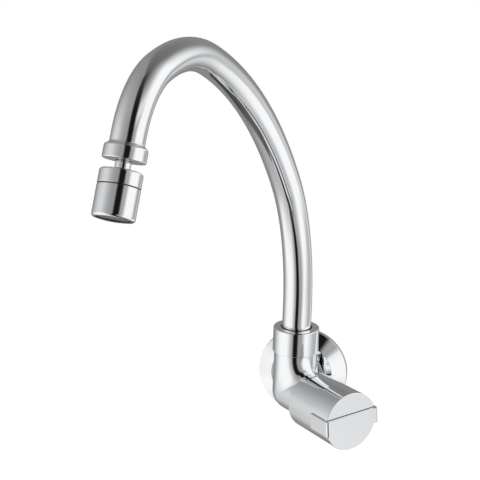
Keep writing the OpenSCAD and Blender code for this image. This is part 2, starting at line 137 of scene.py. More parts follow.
class SpoutSizes(bpy.types.PropertyGroup):
    """Sizes of the spout tube, its end ring and the stem."""
    tube_radius: length("Tube radius", "Outer radius of the spout tube", 11.0, 10.9, 11)
    tube_wall: length("Tube wall", "Wall of the spout tube", 1.0, 0.8, 1)
    rise: length("Rise", "Straight length above the nut", 12.0, 8, 30)
    end: length("Straight end", "Straight length down to the ring's face", 17.15, 16, 25)
    ring_radius: length("Ring radius", "Radius of the ring on the end", 13.75, 13.5, 14.5)
    stem_radius: length("Stem radius", "Radius of the turning stem", 5.0, 4, 6)
    ball_radius: length("Ball radius", "Radius of the joint's ball", 8.5, 8, 9)


class AeratorSizes(bpy.types.PropertyGroup):
    """Sizes of the aerator's cap and housing."""
    radius: length("Radius", "Outer radius of the cap and the housing", 13.6, 13.5, 14)
    mouth_radius: length("Mouth radius", "Radius of the opening", 11.7, 10, 12)
    top: length("Top", "Distance from the ball's centre to the cap's top", 6.7, 5, 6.8)
    bottom: length("Bottom", "Distance from the ball's centre to the mouth", 23.2, 20, 24)
    lean: angle("Lean", "Lean of the aerator off the flow axis", 3, 0, 15)


class TapFinish(bpy.types.PropertyGroup):
    """Colours and gloss of the tap's materials."""
    chrome: colour("Chrome", "Mirror colour of the chrome plate", (0.92, 0.93, 0.945))
    chrome_roughness: FloatProperty(name="Chrome roughness", default=0.035, min=0.0, max=0.3,
                                    description="Blur of the chrome's reflections",
                                    subtype="FACTOR")
    brass: colour("Brass", "Colour of the bare brass", (0.72, 0.53, 0.24))
    rubber: colour("Rubber", "Colour of the seals", (0.025, 0.025, 0.027))
    ceramic: colour("Ceramic", "Colour of the valve discs", (0.82, 0.80, 0.74))
    slide_plastic: colour("Slide plastic", "Colour of the slip rings", (0.80, 0.80, 0.79))
    core_plastic: colour("Core plastic", "Colour of the aerator core", (0.28, 0.29, 0.25))
    steel: colour("Stainless steel", "Colour of the mesh and the screw", (0.4, 0.4, 0.365))


# ---------- Profiles and surfaces ----------

ARC_STEP = math.radians(9)
TURNS = 192
WELD = 1e-6
WELD_SHIFT = 0.1234
STRAIGHT = 1e-6
ASKEW = (0.3, 0.5, 0.8)


def rounded_profile(corners, closed=True):
    """Points and outward normals of an outline whose corners are arcs.

    Each corner is (x, y, fillet). The arc of that radius touches both sides of the corner, at
    fillet * tan(half the turn) from it, and its normals point away from its centre on a left
    turn and towards it on a right turn. The outline runs with its inside on the left.
    """
    corners = np.array(corners, float)
    points, normals = [], []
    last = len(corners) - 1
    for i, (x, y, fillet) in enumerate(corners):
        here = np.array([x, y])
        if not closed and i in (0, last):
            side = unit(corners[1, :2] - here if i == 0 else here - corners[last - 1, :2])
            points.append([here])
            normals.append([[side[1], -side[0]]])
            continue
        a = unit(here - corners[i - 1, :2])
        b = unit(corners[(i + 1) % len(corners), :2] - here)
        turn = math.atan2(a[0] * b[1] - a[1] * b[0], a @ b)
        if abs(turn) < STRAIGHT:
            continue
        left = np.sign(turn)
        centre = (here - a * fillet * math.tan(abs(turn) / 2)
                  + left * fillet * np.array([-a[1], a[0]]))
        steps = max(2, int(math.ceil(abs(turn) / ARC_STEP)))
        way = math.atan2(-a[0], a[1]) + np.linspace(0, turn, steps + 1)
        out = np.stack([np.cos(way), np.sin(way)], 1)
        points.append(centre + left * fillet * out)
        normals.append(out)
    return np.concatenate(points), np.concatenate(normals)


def lathe(profile, origin, axis, start=None, turns=TURNS):
    """Carries a profile (r, z) round the axis: point = origin + r (cos u, sin u) + z axis.

    Returns the grid of points and of normals, with the turn u down the rows.
    """
    points, normals = profile
    axis = unit(axis)
    side = unit(np.cross(axis, ASKEW) if start is None else start)
    other = np.cross(axis, side)
    u = np.linspace(0, 2 * math.pi, turns + 1)[:, None, None]
    spoke = np.cos(u) * side + np.sin(u) * other
    grid = origin + points[None, :, :1] * spoke + points[None, :, 1:] * axis
    slope = normals[None, :, :1] * spoke + normals[None, :, 1:] * axis
    return grid, slope


def closed_lathe(corners, origin, axis, turns=TURNS):
    """A ring-shaped solid: the closed outline of corners, in millimetres, turned about the axis."""
    points, normals = rounded_profile(np.array(corners, float) * MM)
    loop = np.concatenate([points, points[:1]]), np.concatenate([normals, normals[:1]])
    return lathe(loop, np.asarray(origin), axis, turns=turns)


def solid_lathe(corners, origin, axis, start=None):
    """A solid that reaches its axis: the open outline of corners turned about the axis."""
    profile = rounded_profile(np.array(corners, float) * MM, closed=False)
    return lathe(profile, np.asarray(origin), axis, start)


def make_piece(name, patches, body, node, slot):
    """One mesh from grid patches, welded where they meet, each corner with its own normal.

    Points closer than a micrometre become one vertex, quads that lose a corner become
    triangles, and a patch whose faces point against its normals is turned round. The piece
    rides the body, stands for the node if one is given, and takes its slot's finish.
    """
    points, normals, quads, first = [], [], [], 0
    for grid, slope in patches:
        rows, columns = grid.shape[:2]
        index = first + np.arange(rows * columns).reshape(rows, columns)
        quad = np.stack([index[:-1, :-1], index[1:, :-1], index[1:, 1:], index[:-1, 1:]], -1)
        flat, way = grid.reshape(-1, 3), slope.reshape(-1, 3)
        quad = quad.reshape(-1, 4)
        corner = flat[quad - first]
        cross = np.cross(corner[:, 2] - corner[:, 0], corner[:, 3] - corner[:, 1])
        if np.sum(cross * way[quad - first].mean(1)) < 0:
            quad = quad[:, ::-1]
        points.append(flat)
        normals.append(way)
        quads.append(quad)
        first += len(flat)
    points, normals, quads = map(np.concatenate, (points, normals, quads))
    keys = np.round(points / WELD + WELD_SHIFT).astype(np.int64)
    _, chosen, weld = np.unique(keys, axis=0, return_index=True, return_inverse=True)
    weld = weld.ravel()
    corners = weld[quads]
    kept = corners != np.roll(corners, -1, axis=1)
    whole = kept.sum(1) >= 3
    faces = [row[keep].tolist() for row, keep in zip(corners[whole], kept[whole])]
    corner_normals = normals[quads[whole]][kept[whole]]
    mesh = bpy.data.meshes.new(name)
    mesh.from_pydata(points[chosen].tolist(), [], faces)
    mesh.polygons.foreach_set("use_smooth", np.ones(len(faces), bool))
    length_of = np.linalg.norm(corner_normals, axis=1, keepdims=True)
    mesh.normals_split_custom_set((corner_normals / length_of).tolist())
    mesh.materials.append(finish_of(slot))
    piece = bpy.data.objects.new(name, mesh)
    bpy.context.scene.collection.objects.link(piece)
    if node:
        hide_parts(node)
    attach(piece, body)


def tube_path(sizes, nut_top):
    """Centres and headings along the spout: a straight rise, four arcs and a straight end.

    An arc of radius R from heading a to b passes through start + R (cos a - cos t,
    sin t - sin a) in reach and height, for t from a to b.
    """
    start, heading = np.array([0.0, nut_top + sizes.rise]), 0.0
    centres = [np.array([[0.0, TUBE_FOOT], start])]
    headings = [np.zeros(2)]
    for radius_mm, turn_deg, rings in SPOUT_BENDS:
        radius = radius_mm * MM
        t = np.linspace(heading, heading + math.radians(turn_deg), rings + 1)[1:]
        arc = np.stack([math.cos(heading) - np.cos(t), np.sin(t) - math.sin(heading)], 1)
        centres.append(start + radius * arc)
        headings.append(t)
        start, heading = centres[-1][-1], t[-1]
    way = np.array([math.sin(heading), math.cos(heading)])
    centres.append((start + (sizes.end - TUBE_END_GAP) * way)[None])
    headings.append(np.array([heading]))
    return np.concatenate(centres), np.concatenate(headings)


SPOUT_BENDS = [(180.0, 38.8, 60), (424.0, 27.4, 90), (149.0, 33.0, 50), (53.6, 57.1, 60)]
TUBE_FOOT = 0.028
TUBE_END_GAP = 0.0052


def tube_wall(centres, headings, radius, sides=96):
    """A pipe's wall: the circle of that radius square to each heading.

    Point = centre + radius (cos u outwards in the spout's plane + sin u sideways).
    """
    across = np.cross(UP, REACH)
    u = np.linspace(0, 2 * math.pi, sides + 1)[None, :, None]
    outwards = (np.cos(headings)[:, None] * REACH - np.sin(headings)[:, None] * UP)[:, None]
    slope = np.cos(u) * outwards + np.sin(u) * across
    middle = BODY_CENTRE + centres[:, :1] * REACH + centres[:, 1:] * UP
    return middle[:, None] + radius * slope, slope


def flat_ring(outer, inner, normal):
    """A flat patch between two rings of points that have as many points each."""
    grid = np.stack([outer, inner])
    return grid, np.broadcast_to(normal, grid.shape)


# ---------- Materials ----------

def new_material(name):
    """A node material and its Principled shader, ready for links."""
    material = bpy.data.materials.new(name)
    material.use_nodes = True
    shader = next(n for n in material.node_tree.nodes if n.type == "BSDF_PRINCIPLED")
    return material, shader


def add_node(owner, kind, **values):
    """A shader node in the owner's tree, with those values on its inputs.

    An underscore in a value's name stands for the space in the input's name.
    """
    node = owner.node_tree.nodes.new("ShaderNode" + kind)
    for name, value in values.items():
        node.inputs[name.replace("_", " ")].default_value = value
    return node


def object_noise(material, scale, detail=3.0):
    """Noise on Object coordinates, at that many cells a metre."""
    place = add_node(material, "TexCoord")
    noise = add_node(material, "TexNoise", Scale=scale, Detail=detail)
    material.node_tree.links.new(place.outputs["Object"], noise.inputs["Vector"])
    return noise


def ranged(material, source, low, high, start=0.3, end=0.7):
    """The source's value, with start to end spread over low to high."""
    spread = add_node(material, "MapRange", From_Min=start, From_Max=end, To_Min=low, To_Max=high)
    material.node_tree.links.new(source, spread.inputs["Value"])
    return spread.outputs["Result"]


def add_bump(material, shader, source, strength, distance):
    """Bumps the shader's normal by the source's height."""
    links = material.node_tree.links
    bump = add_node(material, "Bump", Strength=strength, Distance=distance)
    links.new(source, bump.inputs["Height"])
    links.new(bump.outputs["Normal"], shader.inputs["Normal"])


def mixed_base(material, shader, factor, low, high):
    """The shader's base colour, from low to high by the factor."""
    links = material.node_tree.links
    mix = add_node(material, "Mix")
    mix.data_type = "RGBA"
    mix.inputs["A"].default_value = (*low, 1)
    mix.inputs["B"].default_value = (*high, 1)
    links.new(factor, mix.inputs["Factor"])
    links.new(mix.outputs["Result"], shader.inputs["Base Color"])


def mottled(material, shader, source, base, share):
    """The base colour, lighter and darker by that share with the source."""
    mixed_base(material, shader, ranged(material, source, 0.0, 1.0),
               [c * (1 - share) for c in base], [min(1.0, c * (1 + share)) for c in base])


def painted_crevice_shade(material, shader, base):
    """Painted shade: the base colour, falling to a dull dark one in seams and corners, where shade falls.

    The openness of a point is the share of short rays round its normal that get away.
    """
    openness = add_node(material, "AmbientOcclusion", Distance=CREVICE_SHADE_REACH)
    openness.samples = CREVICE_SHADE_SAMPLES
    share = ranged(material, openness.outputs["AO"], 0.0, 1.0, CREVICE_SHADE_SHUT, CREVICE_SHADE_OPEN)
    mixed_base(material, shader, share, CREVICE_SHADE_COLOUR, base)


# Painted crevice shade: how far its rays reach, how many there are, the openness over which the shade fades in,
# and the dark colour it paints.
CREVICE_SHADE_REACH = 0.002
CREVICE_SHADE_SAMPLES = 8
CREVICE_SHADE_SHUT = 0.25
CREVICE_SHADE_OPEN = 0.85
CREVICE_SHADE_COLOUR = (0.04, 0.042, 0.045)
HAZE_SCALE = 60.0
GRAIN_HEIGHT = 0.0002


def chrome_material(finish):
    """Bright chrome plate: a mirror with faint haze patches left by the polishing wheel, its base colour darkened
    by painted shade in seams and corners.
    """
    material, shader = new_material("bright_chrome")
    # Painted shade: the base colour falls to a dark one in seams and corners.
    painted_crevice_shade(material, shader, finish.chrome)
    shader.inputs["Metallic"].default_value = 1.0
    haze = object_noise(material, HAZE_SCALE)
    rough = finish.chrome_roughness
    roughness = ranged(material, haze.outputs["Fac"], rough * 0.8, rough * 1.3)
    material.node_tree.links.new(roughness, shader.inputs["Roughness"])
    return material


def plain_material(name, base, roughness, metallic=0.0, grain=800.0, share=0.06, bump=0.0):
    """A moulded or machined finish: mottled colour, uneven gloss and a fine grain."""
    material, shader = new_material(name)
    shader.inputs["Metallic"].default_value = metallic
    noise = object_noise(material, grain)
    mottled(material, shader, noise.outputs["Fac"], base, share)
    uneven = ranged(material, noise.outputs["Fac"], roughness * 0.85, roughness * 1.15)
    material.node_tree.links.new(uneven, shader.inputs["Roughness"])
    if bump:
        add_bump(material, shader, noise.outputs["Fac"], bump, GRAIN_HEIGHT)
    return material


def tap_materials(finish):
    """Every material of the tap, under the record's slot names."""
    return {
        "chrome_plated_brass": chrome_material(finish),
        "bare_brass": plain_material("turned_brass", finish.brass, 0.28, metallic=1.0, bump=0.15),
        "seal_rubber": plain_material("moulded_rubber", finish.rubber, 0.55, bump=0.4),
        "alumina_ceramic": plain_material("lapped_ceramic", finish.ceramic, 0.22, share=0.03),
        "slide_plastic": plain_material("slide_plastic", finish.slide_plastic, 0.38, share=0.03),
        "core_plastic": plain_material("core_plastic", finish.core_plastic, 0.45, bump=0.2),
        "stainless_steel": plain_material("drawn_steel", finish.steel, 0.34, metallic=1.0,
                                          grain=2500.0, share=0.12, bump=0.1),
    }


def finish_of(slot):
    """The material of that slot, made once and then shared."""
    if not MATERIALS:
        MATERIALS.update(tap_materials(bpy.context.scene.tap_finish))
    return MATERIALS[slot]


MATERIALS = {}


def chrome_piece(name, patches, body, node):
    """A chrome piece on that body, standing for that node."""
    make_piece(name, patches, body, node, "chrome_plated_brass")


# ---------- Wall side and body ----------

class TAP_OT_flange(bpy.types.Operator):
    """Turn the wall flange: its rim, its cone and its flat face round the body"""
    bl_idname = "tap.flange"
    bl_label = "Wall flange"

    def execute(self, context):
        size = context.scene.tap_body
        rim, boss = size.flange_radius / MM, size.boss_radius / MM
        edge, face = size.flange_rim / MM, size.boss_top / MM
        bore, wall, back = 15.9, 2.2, 0.8
        corners = [
            (rim, back, 0.2), (rim, edge, 0.5), (boss + 0.5, face - 0.3, 0.3), (boss, face, 0.5),
            (bore, face, 0.25), (bore, face - wall, 0.1), (boss - wall, face - wall, 1.0),
            (boss - wall + 1, edge - wall + 1, 1.0), (rim - wall, edge - wall, 1.0),
            (rim - wall, back, 0.1),
        ]
        chrome_piece("flange_plate", [closed_lathe(corners, (0, 0, 0), ROOM)], "tap", "wall_flange")
        return {"FINISHED"}


WALL_END = 31.6
SHANK_WALL_END = 20.0
FILLET_TOP = WALL_END * MM
FILLET_OUT = 0.5
FILLET_END = 0.9
FILLET_FADE = 0.8
FILLET_STEPS = 25


def fillet_share(c, n):
    """How much of the elbow's fillet is there, by the cosine and sine of the turn about a limb.

    It is whole on the free side and fades as s s (3 - 2 s) before it meets the shank.
    """
    s = np.clip((FILLET_END - n) / FILLET_FADE, 0, 1)
    return s * s * (3 - 2 * s) * (c > 0)


def fillet_up(radius, c, n):
    """Length of the fillet on the socket: up to the nut, but none where the walls run on."""
    return fillet_share(c, n) * (FILLET_TOP - radius * c) * (1 - (1 - c) ** 3)


def fillet_out(radius, c, n):
    """Length of the fillet on the handle chamber, which falls with the root of the cosine."""
    return fillet_share(c, n) * FILLET_OUT * radius * np.sqrt(np.maximum(c, 0))


def limb_start(axis, others, way, radius):
    """Where a limb of the body leaves its neighbours, for each direction square to its axis.

    Two round limbs of one radius meet in the plane that halves the angle between their axes,
    at radius (way . other) / (1 - axis . other) along the axis. A fillet adds its length.
    """
    starts = []
    for other, fillet in others:
        start = radius * (way @ other) / (1 - axis @ other)
        starts.append(start + (fillet(radius, way @ other, way @ LEVEL) if fillet else 0))
    return np.maximum(0.0, np.max(starts, axis=0))


def elbow_fillet(radius):
    """The hollow blend between the socket and the handle chamber.

    With c the cosine and n the sine of the turn about either axis, and t from the socket to the
    chamber, point = (radius c + up length (1 - sin t)) up + (radius c + out length (1 - cos t))
    out + radius n level, an arc of an ellipse that is tangent to both walls. The turn runs from
    the free side to 67.5 degrees, where the fillet has faded.
    """
    u = np.linspace(-math.pi / 2, 3 * math.pi / 8, TURNS * 7 // 16 + 1)[:, None]
    t = np.linspace(0, math.pi / 2, FILLET_STEPS)[None, :]
    c, n = np.maximum(np.cos(u), 0), np.sin(u)
    up, out = fillet_up(radius, c, n), fillet_out(radius, c, n)
    basis = np.stack([UP, HANDLE_AXIS, LEVEL])
    place = np.stack(np.broadcast_arrays(
        radius * c + up * (1 - np.sin(t)), radius * c + out * (1 - np.cos(t)), radius * n), -1)
    turn = np.gradient(place, u[:, 0], axis=0)
    up, out = up + WELD, out + WELD
    along = np.stack(np.broadcast_arrays(-up * np.cos(t), out * np.sin(t), 0 * t), -1)
    return BODY_CENTRE + place @ basis, np.cross(along, turn) @ basis


def body_limb(axis, side, others, radius, corners):
    """One limb of the body: a straight wall from the seam with its neighbours, then its end."""
    u = np.linspace(0, 2 * math.pi, TURNS + 1)
    way = np.cos(u)[:, None] * side + np.sin(u)[:, None] * np.cross(axis, side)
    first = corners[0][1] * MM
    seam = BODY_CENTRE + radius * way + limb_start(axis, others, way, radius)[:, None] * axis
    ring = BODY_CENTRE + radius * way + first * axis
    wall = np.stack([seam, ring], 1), np.stack([way, way], 1)
    return [wall, solid_lathe(corners, BODY_CENTRE, axis, start=side)]


class TAP_OT_body(bpy.types.Operator):
    """Build the body: socket, handle chamber and wall shank, rounded by a ball at the elbow"""
    bl_idname = "tap.body"
    bl_label = "Tap body"

    def execute(self, context):
        size = context.scene.tap_body
        r, shoulder, wall = size.body_radius / MM, size.shoulder / MM, -BODY_CENTRE[1] / MM
        socket = [
            (r, WALL_END, 0), (r, shoulder, 0.3), (15.0, shoulder, 0.1), (15.0, 43.5, 0.4),
            (12.5, 43.5, 0.4), (12.5, 18.0, 1.0), (0, 18.0, 0),
        ]
        chamber = [
            (r, WALL_END, 0), (r, 34.0, 0.5), (12.6, 34.0, 0.2), (12.6, 32.4, 0.1),
            (10.51, 32.4, 0.1), (10.51, 20.9, 0.1), (12.0, 20.9, 0.1), (12.0, 11.0, 0.1),
            (9.6, 11.0, 0.1), (9.6, 9.0, 0.1), (0, 9.0, 0),
        ]
        shank = [
            (r, SHANK_WALL_END, 0), (r, wall - 13.2, 0.2), (17.2, wall - 13.2, 0.3),
            (17.2, wall - 11.2, 0.1), (15.87, wall - 11.2, 0.1), (15.87, wall - 3.0, 0.3),
            (10.51, wall - 3.0, 0.2), (10.51, wall - 20.0, 0.2), (0, wall - 20.0, 0),
        ]
        radius = size.body_radius
        back = -ROOM
        limbs = (
            body_limb(UP, HANDLE_AXIS, [(HANDLE_AXIS, fillet_up), (back, None)], radius, socket)
            + body_limb(HANDLE_AXIS, UP, [(UP, fillet_out), (back, None)], radius, chamber)
            + body_limb(back, UP, [(UP, None), (HANDLE_AXIS, None)], radius, shank)
        )
        rounds = [elbow_fillet(radius), self.elbow(radius)]
        chrome_piece("body_casting", limbs + rounds, "tap", "tap_body")
        return {"FINISHED"}

    def elbow(self, radius):
        """The part of the ball that no limb covers: from straight left to square off the
        handle, and from level down to the pole."""
        eighth, quarter = TURNS // 8, TURNS // 4
        azimuth = math.pi + np.linspace(0, math.pi / 4, eighth + 1)[:, None]
        drop = np.linspace(0, math.pi / 2, quarter + 1)[None, :]
        slope = np.stack([
            np.cos(azimuth) * np.cos(drop), np.sin(azimuth) * np.cos(drop),
            -np.sin(drop) * np.ones_like(azimuth)], -1)
        return BODY_CENTRE + radius * slope, slope


class TAP_OT_swivel(bpy.types.Operator):
    """Turn the swivel nut and the slip ring that sits below its top"""
    bl_idname = "tap.swivel"
    bl_label = "Swivel nut"

    def execute(self, context):
        size = context.scene.tap_body
        r, top, low = size.nut_radius / MM, size.nut_top / MM, size.shoulder / MM
        neck, wall = 15.03, 2.1
        nut = [
            (neck, low, 0.1), (r, low, 0.3), (r, top, 1.0), (12.0, top, 0.2),
            (12.0, top - wall, 0.05), (neck, top - wall, 0.1),
        ]
        ring = [
            (11.08, top - 4.05, 0.1), (14.8, top - 4.05, 0.2), (14.8, top - wall, 0.1),
            (11.9, top - wall, 0.1), (11.9, top - 1.6, 0.2), (11.08, top - 1.6, 0.2),
        ]
        chrome_piece("nut_collar", [closed_lathe(nut, BODY_CENTRE, UP)], "tap", "swivel_nut")
        make_piece("foot_ring", [closed_lathe(ring, BODY_CENTRE, UP)], "tap", "upper_slip_ring",
                   "slide_plastic")
        return {"FINISHED"}


class TAP_OT_inlet(bpy.types.Operator):
    """Cut the inlet nipple's thread as a helical surface"""
    bl_idname = "tap.inlet"
    bl_label = "Threaded inlet"

    def execute(self, context):
        pitch, crest, root, bore = 1.814, 10.48, 9.32, 8.0
        outer, inner = -15.0, 18.0
        rows_a_turn, tooth_height, flank_slope = 12, 1.35, 3.4
        rows = rows_a_turn * int((inner - outer) / pitch)
        z = np.linspace(outer, inner, rows + 1)[None, :]
        u = np.linspace(0, 2 * math.pi, TURNS // 2 + 1)[:, None]
        phase = (z / pitch - u / (2 * math.pi)) % 1.0
        tooth = np.clip(tooth_height - flank_slope * np.abs(phase - 0.5), 0, 1)
        fade = np.clip(np.minimum(z - outer, inner - z) / pitch, 0, 1)
        radius = (root + (crest - root) * tooth * fade) * MM
        spoke = np.stack([np.cos(u), 0 * u, np.sin(u)], -1)
        wall = radius[..., None] * spoke + z[..., None] * MM * ROOM
        slope = np.cross(np.gradient(wall, axis=1), np.gradient(wall, axis=0))
        slope *= np.sign(np.sum(slope * spoke, -1, keepdims=True))
        hole = bore * MM * spoke + np.array([outer, inner])[None, :, None] * MM * ROOM
        inside = hole, np.broadcast_to(-spoke, hole.shape)
        ends = [flat_ring(wall[:, 0], hole[:, 0], -ROOM), flat_ring(wall[:, -1], hole[:, 1], ROOM)]
        make_piece("inlet_thread", [(wall, slope), inside, *ends], "tap", "inlet_nipple",
                   "bare_brass")
        return {"FINISHED"}


# ---------- Handle ----------

def handle_place(points, turn):
    """Local (x, y, z) of the handle to the row frame: z out along the axis, y up, turned."""
    x, y = turned(LEVEL, HANDLE_AXIS, turn), turned(UP, HANDLE_AXIS, turn)
    return points @ np.stack([x, y, HANDLE_AXIS])


class TAP_OT_handle(bpy.types.Operator):
    """Build the slotted handle sleeve and the grip bar that lies in it"""
    bl_idname = "tap.handle"
    bl_label = "Handle"

    def execute(self, context):
        size = context.scene.tap_handle
        self.turn = size.turn
        self.start, self.end = size.start / MM, size.end / MM
        self.rear, self.front = size.rear_radius / MM, size.front_radius / MM
        self.floor = self.end + size.bar_proud / MM - size.bar_depth / MM
        self.slot_half = size.bar_height / MM / 2 + 0.03
        self.angles = self.ring_angles()
        patches = [self.shell()] + self.prong(1) + self.prong(-1) + [self.slot_floor()]
        chrome_piece("handle_casting", [self.placed(*p) for p in patches], "handle",
                     "handle_sleeve")
        chrome_piece("grip_bar", [self.placed(*p) for p in self.bar(size)], "handle", "handle_bar")
        return {"FINISHED"}

    def placed(self, points, slope):
        """A patch in local millimetres, put in the row frame."""
        return (BODY_CENTRE + handle_place(points * MM, self.turn),
                handle_place(slope, self.turn))

    def radius_at(self, z):
        """Outer radius of the tapering sleeve."""
        return self.rear + (self.front - self.rear) * (z - self.start) / (self.end - self.start)

    def prong_angles(self, radius, half):
        """Angles of a prong's wall, from one slot edge over the top to the other."""
        edge = np.arcsin(half / radius)
        return edge + np.linspace(0, 1, PRONG_STEPS + 1) * (math.pi - 2 * edge)

    def slot_rows(self):
        """Heights across the slot, from its upper to its lower edge."""
        return np.linspace(self.slot_half, -self.slot_half, SLOT_STEPS + 1)

    def ring_angles(self):
        """Angles round the whole sleeve that meet the prongs and the slot's floor."""
        r = self.radius_at(self.floor)
        top = self.prong_angles(r, self.slot_half)
        across = np.arcsin(self.slot_rows()[1:] / r)
        return np.concatenate([top, math.pi - across, (math.pi + top)[1:],
                               2 * math.pi + across[::-1][1:], [2 * math.pi + top[0]]])

    def shell(self):
        """The sleeve from its web to the slot's floor: an outline turned about the axis."""
        corners = [
            (0, 52.1, 0), (8.65, 52.1, 0), (8.65, 46.2, 0.2), (11.5, 46.2, 0.4), (11.5, 50, 0.5),
            (19.3, 50, 1), (19.3, self.start, 0.3), (self.rear, self.start, 0.4),
            (self.radius_at(self.floor), self.floor, 0),
        ]
        points, normals = rounded_profile(corners, closed=False)
        u = self.angles[:, None]
        return tuple(np.stack([np.cos(u) * part[:, 0], np.sin(u) * part[:, 0],
                               part[:, 1] + 0 * u], -1) for part in (points, normals))

    def prong(self, side):
        """One half of the slotted end: its round wall, its face and its wall along the slot."""
        rim, chamfer = 0.5, 0.25
        bend = np.linspace(0, math.pi / 2, 7)
        z = np.concatenate([[self.floor], self.end - rim + rim * np.sin(bend)])
        r = np.concatenate([[self.radius_at(self.floor)],
                            self.radius_at(self.end) - rim * (1 - np.cos(bend))])
        tilt = np.concatenate([[0.0], bend])
        half = self.slot_half + np.maximum(0, z - (self.end - chamfer))
        a = np.stack([self.prong_angles(ri, hi) for ri, hi in zip(r, half)], 1)
        x, y = r * np.cos(a), r * np.sin(a)
        flip = np.array([side, side, 1.0])
        round_wall = np.stack([x, y, z + 0 * a], -1) * flip
        round_slope = np.stack([np.cos(a) * np.cos(tilt), np.sin(a) * np.cos(tilt),
                                np.sin(tilt) + 0 * a], -1) * flip
        chord = np.stack([x, half + 0 * a, z + 0 * a], -1) * flip
        cut = int(np.argmin(np.abs(z - (self.end - chamfer))))
        face = np.stack([round_wall[:, -1], chord[:, -1]])
        down = np.array([0, -side, 0.0])
        bevel = unit([0, -side, 1.0])
        return [
            (round_wall, round_slope),
            (face, np.broadcast_to([0.0, 0.0, 1.0], face.shape)),
            (chord[:, :cut + 1], np.broadcast_to(down, chord[:, :cut + 1].shape)),
            (chord[:, cut:], np.broadcast_to(bevel, chord[:, cut:].shape)),
        ]

    def slot_floor(self):
        """The flat floor of the slot, between its two round ends."""
        r = self.radius_at(self.floor)
        a = self.prong_angles(r, self.slot_half)
        y = self.slot_rows()[:, None]
        x = np.sqrt(r * r - y * y) * np.cos(a) / math.cos(a[0])
        grid = np.stack([x, y + 0 * x, self.floor + 0 * x], -1)
        return grid, np.broadcast_to([0.0, 0.0, 1.0], grid.shape)

    def bar(self, size):
        """The grip bar: a rounded outline carried up through its height, its rims rounded."""
        width, high = size.bar_width / MM / 2, size.bar_height / MM / 2
        front = self.floor + size.bar_depth / MM
        corners = [(-width, self.floor + 0.02, 0.4), (width, self.floor + 0.02, 0.4),
                   (width, front, BAR_ROUND), (-width, front, BAR_ROUND)]
        points, normals = rounded_profile(corners)
        points = np.concatenate([points, points[:1]])[:, None]
        normals = np.concatenate([normals, normals[:1]])[:, None]
        bend = np.linspace(0, math.pi / 2, RIM_STEPS)
        tilt = np.concatenate([-bend[::-1], bend])
        side = np.repeat([-1.0, 1.0], RIM_STEPS)
        y = side * (high - BAR_RIM) + BAR_RIM * np.sin(tilt)
        flat = points - (BAR_RIM * (1 - np.cos(tilt)))[:, None] * normals
        wall = np.stack([flat[..., 0], y + 0 * flat[..., 0], flat[..., 1]], -1)
        slope = np.stack([normals[..., 0] * np.cos(tilt), np.sin(tilt) + 0 * normals[..., 0],
                          normals[..., 1] * np.cos(tilt)], -1)
        patches = [(wall, slope)]
        for row, way in ((0, -1.0), (-1, 1.0)):
            ring = wall[:, row]
            middle = np.broadcast_to(ring.mean(0), ring.shape)
            patches.append(flat_ring(ring, middle, [0.0, way, 0.0]))
        return patches


PRONG_STEPS = 72
SLOT_STEPS = 8
BAR_ROUND = 2.0
BAR_RIM = 0.35
RIM_STEPS = 6


# ---------- Spout ----------

class TAP_OT_spout(bpy.types.Operator):
    """Carry the tube's walls along the gooseneck and turn the ring on its end"""
    bl_idname = "tap.spout"
    bl_label = "Spout"

    def execute(self, context):
        size = context.scene.tap_spout
        centres, headings = tube_path(size, context.scene.tap_body.nut_top)
        outer, slope = tube_wall(centres, headings, size.tube_radius)
        inner, inner_slope = tube_wall(centres, headings, size.tube_radius - size.tube_wall)
        ends = [flat_ring(outer[0], inner[0], -UP), flat_ring(outer[-1], inner[-1], FLOW)]
        chrome_piece("gooseneck", [(outer, slope), (inner, -inner_slope), *ends], "spout",
                     "spout_tube")
        tube, r = size.tube_radius / MM, size.ring_radius / MM
        stem = size.stem_radius / MM
        ring = [
            (tube + 0.03, -11.2, 0.02), (tube + 0.12, -10.1, 1.7),
            (r, -8.3, 1.6), (r, 0, 0.8), (stem + 0.05, 0, 0.1),
            (stem + 0.05, -2.2, 0.05), (8.3, -2.2, 0.05), (8.3, -4.2, 0.05),
            (tube + 0.03, -4.2, 0.05),
        ]
        chrome_piece("end_ring", [closed_lathe(ring, OUTLET, FLOW)], "spout", "outlet_ring")
        return {"FINISHED"}


class TAP_OT_joint(bpy.types.Operator):
    """Turn the stem with its undercut neck, and its ball"""
    bl_idname = "tap.joint"
    bl_label = "Stem and ball"

    def execute(self, context):
        size = context.scene.tap_spout
        stem, ball = size.stem_radius / MM, size.ball_radius / MM
        drop = np.linalg.norm(BALL_CENTRE - OUTLET) / MM
        flat = math.sqrt(ball * ball - stem * stem)
        neck = [
            (3.0, -4.15, 0.1), (8.2, -4.15, 0.1), (8.2, -2.25, 0.1), (stem - 0.9, -2.25, 0.1),
            (stem - 0.9, 1.0, 0.1), (stem, 1.2, 0.15), (stem, drop - flat, 0.05),
            (3.0, drop - flat, 0.05),
        ]
        chrome_piece("turning_stem", [closed_lathe(neck, OUTLET, FLOW, turns=96)],
                     "outlet_joint", "outlet_stem")
        t = np.linspace(-math.acos(stem / ball), math.pi / 2, 40)
        out = np.stack([np.cos(t), np.sin(t)], 1)
        rim = np.array([[0.0, -flat], [stem, -flat]])
        cap = lathe((rim * MM, np.array([[0.0, -1.0]] * 2)), BALL_CENTRE, FLOW, turns=96)
        shell = lathe((out * ball * MM, out), BALL_CENTRE, FLOW, turns=96)
        chrome_piece("joint_ball", [cap, shell], "outlet_joint", "swivel_ball")
        return {"FINISHED"}


# ---------- Aerator ----------

